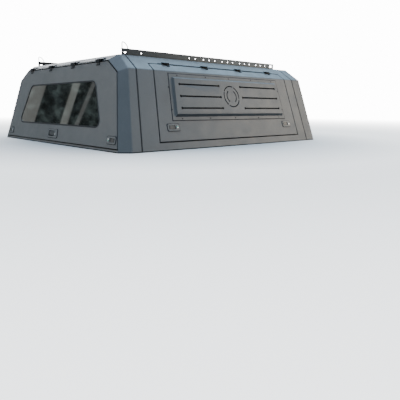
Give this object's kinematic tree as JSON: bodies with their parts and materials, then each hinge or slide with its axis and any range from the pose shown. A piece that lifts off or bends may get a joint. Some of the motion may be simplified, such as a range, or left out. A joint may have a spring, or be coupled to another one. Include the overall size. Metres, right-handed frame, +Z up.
{
  "type": "pickup bed canopy",
  "caption": "Raised hard canopy that covers a short pickup bed, with a lift-up rear window hatch, gull-wing side doors and roof rack rails.",
  "frame": {"origin": "centre of the base seal's underside outline, on the plane of the bed rails", "axes": "+Z up, +Y towards the cab, +X to the vehicle's right; the hatch faces -Y"},
  "size_m": [1.7648, 1.7938, 0.6245],
  "materials": {
    "powder_coat": "textured matt charcoal powder coat",
    "powder_coat_roof": "textured matt charcoal powder coat",
    "black_hardware": "satin black coated zinc and steel",
    "latch_coat": "matt dark grey coat on die-cast zinc",
    "tinted_glass": "dark tinted, glossy",
    "seal_rubber": "matt black",
    "rail_coat": "matt dark grey coat",
    "strut_tube": "semi-gloss black",
    "bright_steel": "polished rod"
  },
  "bodies": {
    "canopy_frame": {"rear_frame": "powder_coat", "side_frame_right": "powder_coat", "side_frame_left": "powder_coat", "front_frame": "powder_coat", "front_window_glass": "tinted_glass", "roof_panel": "powder_coat_roof", "base_seal": "seal_rubber", "rack_rail_right": "rail_coat", "rack_rail_left": "rail_coat", "hatch_seal": "seal_rubber", "door_seal_right": "seal_rubber", "door_seal_left": "seal_rubber", "door_hinge_bar_right": "black_hardware", "door_hinge_bar_left": "black_hardware", "hatch_hinge_bar": "black_hardware"},
    "hatch": {"hatch_panel": "powder_coat", "hatch_gasket": "seal_rubber", "hatch_glass": "tinted_glass", "hatch_hinge_1": "black_hardware", "hatch_hinge_2": "black_hardware", "hatch_hinge_3": "black_hardware", "hatch_hinge_4": "black_hardware", "hatch_latch_right": "latch_coat", "hatch_latch_left": "latch_coat", "hatch_paddle_housing": "latch_coat"},
    "door_right": {"door_panel_right": "powder_coat", "door_cover_right": "powder_coat", "door_hinge_right_1": "black_hardware", "door_hinge_right_2": "black_hardware", "door_hinge_right_3": "black_hardware", "door_hinge_right_4": "black_hardware", "door_latch_right_rear": "latch_coat", "door_latch_right_front": "latch_coat"},
    "door_left": {"door_panel_left": "powder_coat", "door_cover_left": "powder_coat", "door_hinge_left_1": "black_hardware", "door_hinge_left_2": "black_hardware", "door_hinge_left_3": "black_hardware", "door_hinge_left_4": "black_hardware", "door_latch_left_rear": "latch_coat", "door_latch_left_front": "latch_coat"},
    "door_strut_tube_right_rear": {"door_strut_tube_right_rear": "strut_tube"},
    "door_strut_rod_right_rear": {"door_strut_rod_right_rear": "bright_steel"},
    "door_strut_tube_left_rear": {"door_strut_tube_left_rear": "strut_tube"},
    "door_strut_rod_left_rear": {"door_strut_rod_left_rear": "bright_steel"},
    "door_strut_tube_right_front": {"door_strut_tube_right_front": "strut_tube"},
    "door_strut_rod_right_front": {"door_strut_rod_right_front": "bright_steel"},
    "door_strut_tube_left_front": {"door_strut_tube_left_front": "strut_tube"},
    "door_strut_rod_left_front": {"door_strut_rod_left_front": "bright_steel"},
    "hatch_strut_tube_right": {"hatch_strut_tube_right": "strut_tube"},
    "hatch_strut_rod_right": {"hatch_strut_rod_right": "bright_steel"},
    "hatch_strut_tube_left": {"hatch_strut_tube_left": "strut_tube"},
    "hatch_strut_rod_left": {"hatch_strut_rod_left": "bright_steel"},
    "door_handle_right_rear": {"door_handle_right_rear": "latch_coat"},
    "door_handle_left_rear": {"door_handle_left_rear": "latch_coat"},
    "door_handle_right_front": {"door_handle_right_front": "latch_coat"},
    "door_handle_left_front": {"door_handle_left_front": "latch_coat"},
    "hatch_handle_right": {"hatch_handle_right": "latch_coat"},
    "hatch_handle_left": {"hatch_handle_left": "latch_coat"},
    "hatch_paddle": {"hatch_paddle": "latch_coat"}
  },
  "joints": [
    {"name": "hatch_lift", "type": "hinge", "parent": "canopy_frame", "child": "hatch", "pos_m": [0, -0.79178, 0.51913], "axis": [-1, 0, 0], "range_deg": [0, 74]},
    {"name": "door_right_lift", "type": "hinge", "parent": "canopy_frame", "child": "door_right", "pos_m": [0.67633, -0.0482, 0.50885], "axis": [0, -1, 0], "range_deg": [0, 74]},
    {"name": "door_left_lift", "type": "hinge", "parent": "canopy_frame", "child": "door_left", "pos_m": [-0.67633, -0.0482, 0.50885], "axis": [0, 1, 0], "range_deg": [0, 74]},
    {"name": "door_strut_tube_right_rear_pivot", "type": "hinge", "parent": "canopy_frame", "child": "door_strut_tube_right_rear", "pos_m": [0.48208, -0.5482, 0.40557], "axis": [0, -1, 0], "range_deg": [0, 37]},
    {"name": "door_strut_rod_right_rear_pivot", "type": "hinge", "parent": "door_right", "child": "door_strut_rod_right_rear", "pos_m": [0.74065, -0.5482, 0.29846], "axis": [0, -1, 0], "range_deg": [-37, 0]},
    {"name": "door_strut_tube_left_rear_pivot", "type": "hinge", "parent": "canopy_frame", "child": "door_strut_tube_left_rear", "pos_m": [-0.48208, -0.5482, 0.40557], "axis": [0, 1, 0], "range_deg": [0, 37]},
    {"name": "door_strut_rod_left_rear_pivot", "type": "hinge", "parent": "door_left", "child": "door_strut_rod_left_rear", "pos_m": [-0.74065, -0.5482, 0.29846], "axis": [0, 1, 0], "range_deg": [-37, 0]},
    {"name": "door_strut_tube_right_front_pivot", "type": "hinge", "parent": "canopy_frame", "child": "door_strut_tube_right_front", "pos_m": [0.48208, 0.6318, 0.40557], "axis": [0, -1, 0], "range_deg": [0, 37]},
    {"name": "door_strut_rod_right_front_pivot", "type": "hinge", "parent": "door_right", "child": "door_strut_rod_right_front", "pos_m": [0.74065, 0.6318, 0.29846], "axis": [0, -1, 0], "range_deg": [-37, 0]},
    {"name": "door_strut_tube_left_front_pivot", "type": "hinge", "parent": "canopy_frame", "child": "door_strut_tube_left_front", "pos_m": [-0.48208, 0.6318, 0.40557], "axis": [0, 1, 0], "range_deg": [0, 37]},
    {"name": "door_strut_rod_left_front_pivot", "type": "hinge", "parent": "door_left", "child": "door_strut_rod_left_front", "pos_m": [-0.74065, 0.6318, 0.29846], "axis": [0, 1, 0], "range_deg": [-37, 0]},
    {"name": "hatch_strut_tube_right_pivot", "type": "hinge", "parent": "canopy_frame", "child": "hatch_strut_tube_right", "pos_m": [0.58, -0.57582, 0.47715], "axis": [-1, 0, 0], "range_deg": [0, 37]},
    {"name": "hatch_strut_rod_right_pivot", "type": "hinge", "parent": "hatch", "child": "hatch_strut_rod_right", "pos_m": [0.58, -0.79178, 0.29913], "axis": [-1, 0, 0], "range_deg": [-37, 0]},
    {"name": "hatch_strut_tube_left_pivot", "type": "hinge", "parent": "canopy_frame", "child": "hatch_strut_tube_left", "pos_m": [-0.58, -0.57582, 0.47715], "axis": [-1, 0, 0], "range_deg": [0, 37]},
    {"name": "hatch_strut_rod_left_pivot", "type": "hinge", "parent": "hatch", "child": "hatch_strut_rod_left", "pos_m": [-0.58, -0.79178, 0.29913], "axis": [-1, 0, 0], "range_deg": [-37, 0]},
    {"name": "door_handle_right_rear_pull", "type": "hinge", "parent": "door_right", "child": "door_handle_right_rear", "pos_m": [0.83803, -0.5077, 0.12992], "axis": [-0.3095, 0, 0.9509], "range_deg": [0, 40], "stiffness_Nm_per_rad": 0.4, "springref_deg": -20.05},
    {"name": "door_handle_left_rear_pull", "type": "hinge", "parent": "door_left", "child": "door_handle_left_rear", "pos_m": [-0.83803, -0.5077, 0.12992], "axis": [-0.3095, 0, -0.9509], "range_deg": [0, 40], "stiffness_Nm_per_rad": 0.4, "springref_deg": -20.05},
    {"name": "door_handle_right_front_pull", "type": "hinge", "parent": "door_right", "child": "door_handle_right_front", "pos_m": [0.83836, 0.5853, 0.12892], "axis": [-0.3095, 0, 0.9509], "range_deg": [0, 40], "stiffness_Nm_per_rad": 0.4, "springref_deg": -20.05},
    {"name": "door_handle_left_front_pull", "type": "hinge", "parent": "door_left", "child": "door_handle_left_front", "pos_m": [-0.83836, 0.5853, 0.12892], "axis": [-0.3095, 0, -0.9509], "range_deg": [0, 40], "stiffness_Nm_per_rad": 0.4, "springref_deg": -20.05},
    {"name": "hatch_handle_right_pull", "type": "hinge", "parent": "hatch", "child": "hatch_handle_right", "pos_m": [0.7395, -0.88034, 0.06525], "axis": [0, -0.2137, -0.9769], "range_deg": [0, 40], "stiffness_Nm_per_rad": 0.4, "springref_deg": -20.05},
    {"name": "hatch_handle_left_pull", "type": "hinge", "parent": "hatch", "child": "hatch_handle_left", "pos_m": [-0.7395, -0.88034, 0.06525], "axis": [0, 0.2137, 0.9769], "range_deg": [0, 40], "stiffness_Nm_per_rad": 0.4, "springref_deg": -20.05},
    {"name": "hatch_paddle_pull", "type": "hinge", "parent": "hatch", "child": "hatch_paddle", "pos_m": [0, -0.87729, 0.08155], "axis": [-1, 0, 0], "range_deg": [0, 35], "stiffness_Nm_per_rad": 0.4, "springref_deg": -20.05}
  ],
  "couplings": [
    {"joint": "door_strut_tube_right_rear_pivot", "follows": "door_right_lift", "ratio": 0.5},
    {"joint": "door_strut_rod_right_rear_pivot", "follows": "door_right_lift", "ratio": -0.5},
    {"joint": "door_strut_tube_left_rear_pivot", "follows": "door_left_lift", "ratio": 0.5},
    {"joint": "door_strut_rod_left_rear_pivot", "follows": "door_left_lift", "ratio": -0.5},
    {"joint": "door_strut_tube_right_front_pivot", "follows": "door_right_lift", "ratio": 0.5},
    {"joint": "door_strut_rod_right_front_pivot", "follows": "door_right_lift", "ratio": -0.5},
    {"joint": "door_strut_tube_left_front_pivot", "follows": "door_left_lift", "ratio": 0.5},
    {"joint": "door_strut_rod_left_front_pivot", "follows": "door_left_lift", "ratio": -0.5},
    {"joint": "hatch_strut_tube_right_pivot", "follows": "hatch_lift", "ratio": 0.5},
    {"joint": "hatch_strut_rod_right_pivot", "follows": "hatch_lift", "ratio": -0.5},
    {"joint": "hatch_strut_tube_left_pivot", "follows": "hatch_lift", "ratio": 0.5},
    {"joint": "hatch_strut_rod_left_pivot", "follows": "hatch_lift", "ratio": -0.5}
  ]
}
